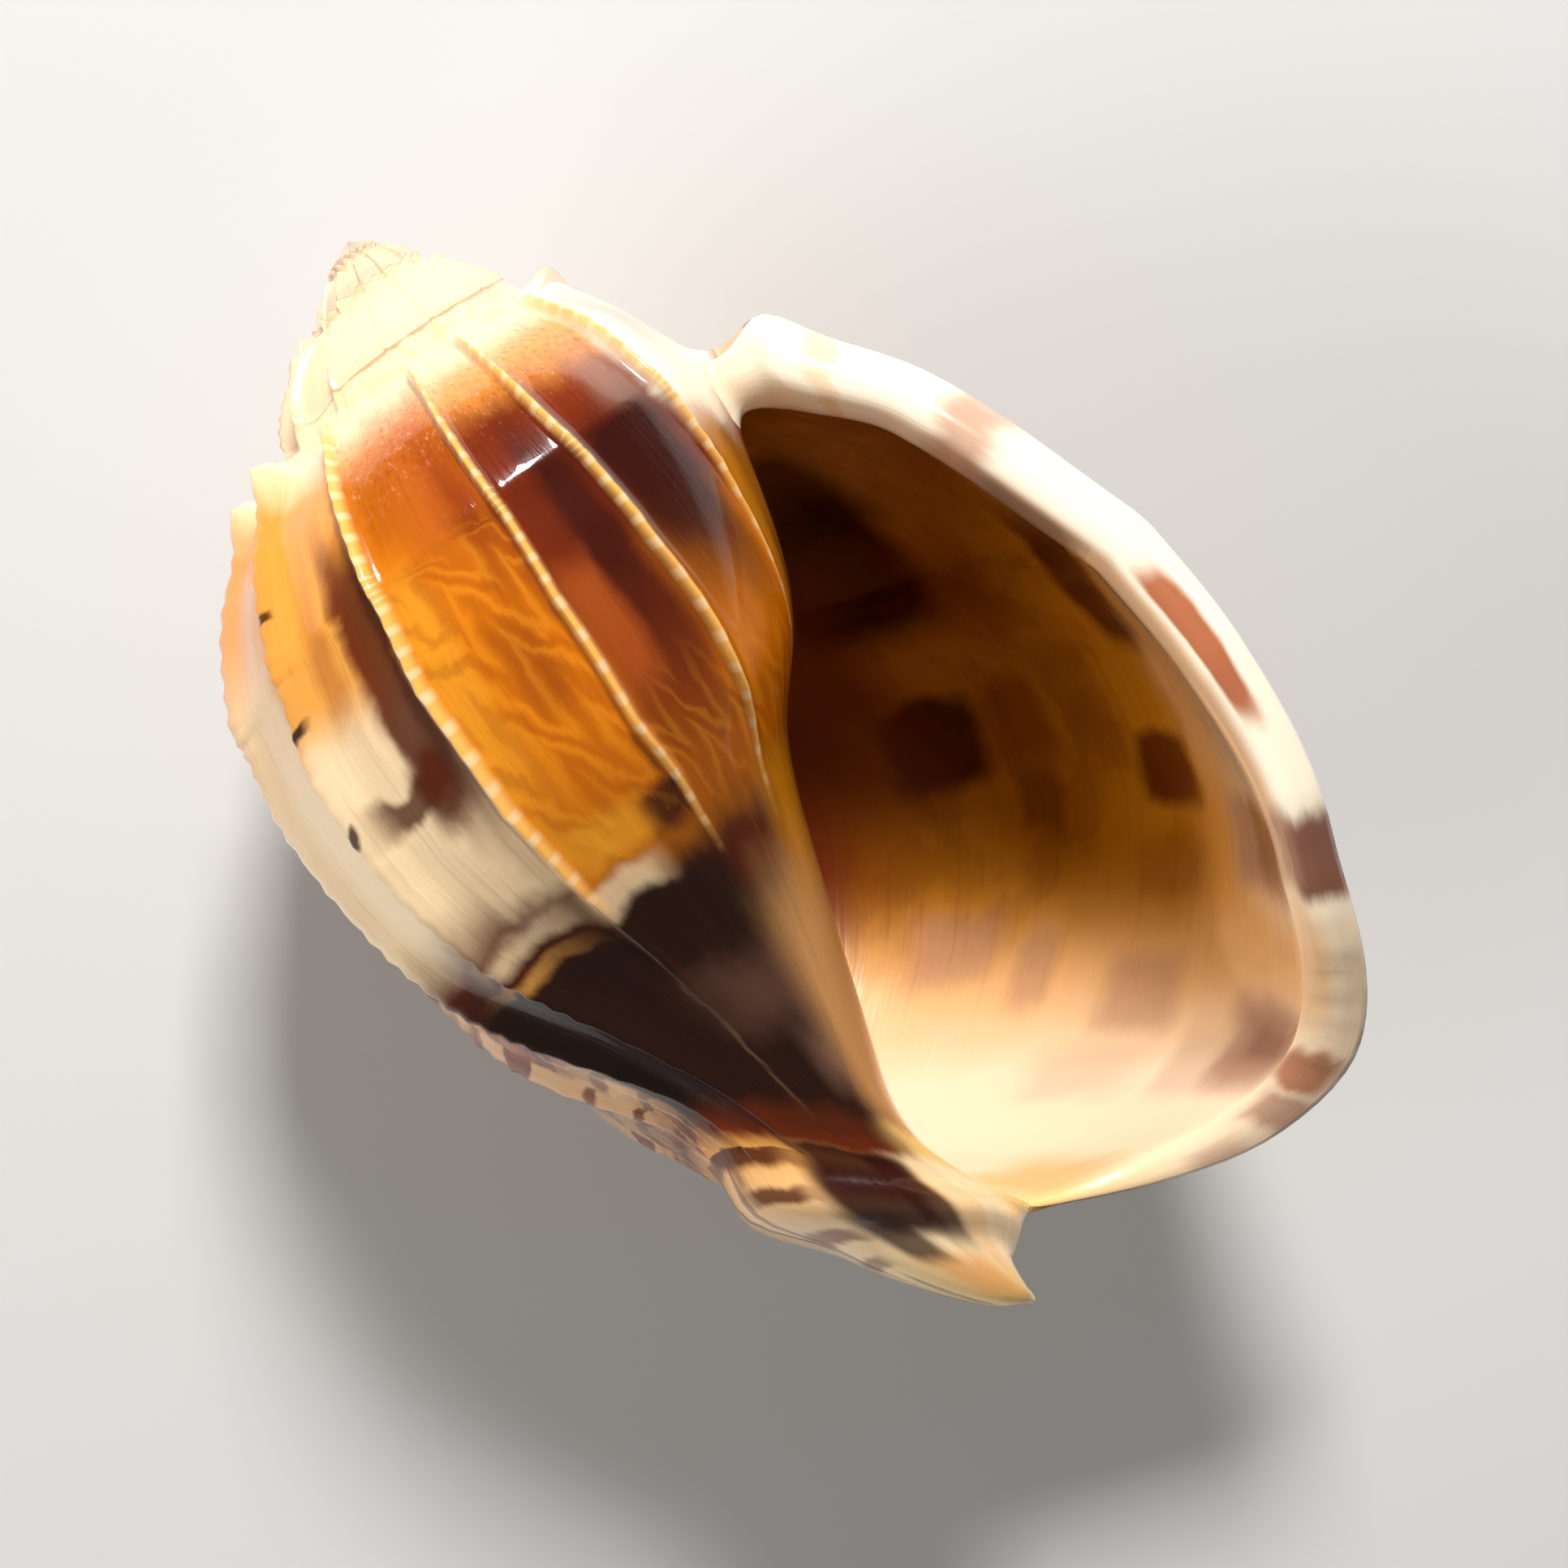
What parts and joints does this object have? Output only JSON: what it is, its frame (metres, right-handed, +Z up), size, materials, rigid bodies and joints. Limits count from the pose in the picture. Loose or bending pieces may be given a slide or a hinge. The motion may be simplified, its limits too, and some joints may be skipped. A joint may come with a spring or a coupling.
{
  "type": "major harp shell",
  "caption": "Large right-coiled sea shell with raised ribs, a short pointed spire and a wide open mouth, lying on its back on a small worn flat spot.",
  "frame": {"origin": "centre of the worn flat spot on the shell's back, level with the surface it lies on", "axes": "+Z up, out of the mouth; +Y along the shell towards the apex; +X towards the outer lip"},
  "size_m": [0.0575, 0.0791, 0.0431],
  "materials": {
    "shell": "glossy natural glaze, chestnut and golden brown between cream ribs, porcelain white lip"
  },
  "bodies": {
    "root": {"shell": "shell"}
  },
  "joints": []
}
